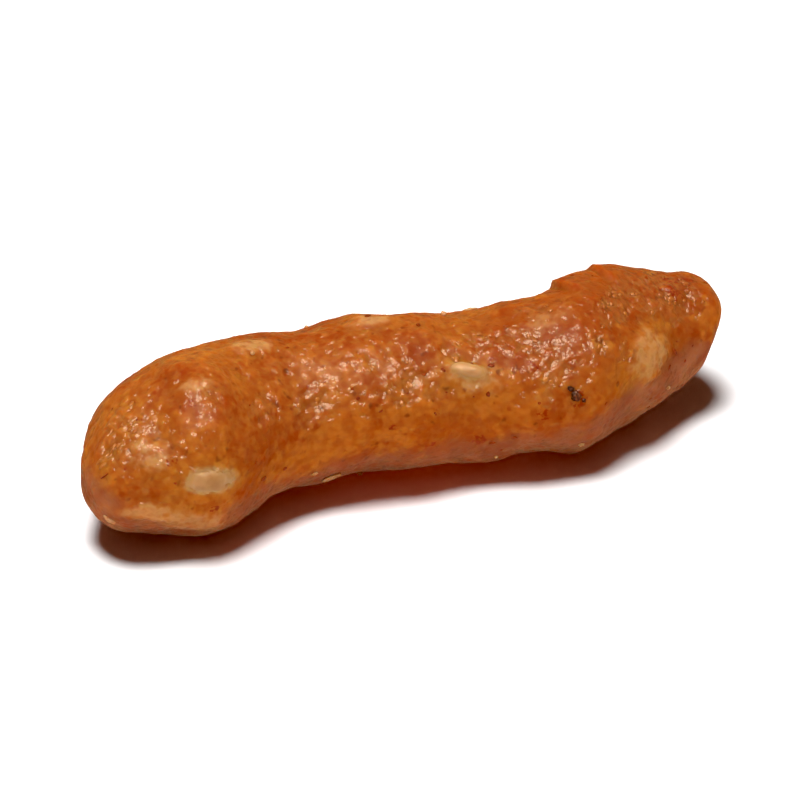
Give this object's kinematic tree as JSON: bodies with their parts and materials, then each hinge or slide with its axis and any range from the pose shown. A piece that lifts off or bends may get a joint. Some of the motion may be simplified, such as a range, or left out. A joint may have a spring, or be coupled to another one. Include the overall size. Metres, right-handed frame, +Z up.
{
  "type": "sesame stick",
  "caption": "Short knobbly stick of fried wheat dough with sesame seeds under its skin, rounded at one end and snapped at the other.",
  "frame": {"origin": "under the middle of the stick's bounding box, on the plane it rests on", "axes": "+X along the stick from its rounded knob to its snapped end, +Z up, the side with the listed near seeds facing -Y"},
  "size_m": [0.037, 0.0114, 0.0093],
  "materials": {
    "dough": "fried wheat dough, amber and mottled, pebbly and oily, translucent at its thin edges",
    "seed": "hulled sesame seed under a thin film of oily dough, cream to pale tan",
    "scorch": "scorched crumb and burnt bran, nearly black with a glint of oil",
    "bran": "flecks of red-brown bran in the skin",
    "crumb": "small pale crumbs and flakes of dough stuck to the skin"
  },
  "bodies": {
    "root": {"stick": "dough"}
  },
  "joints": []
}
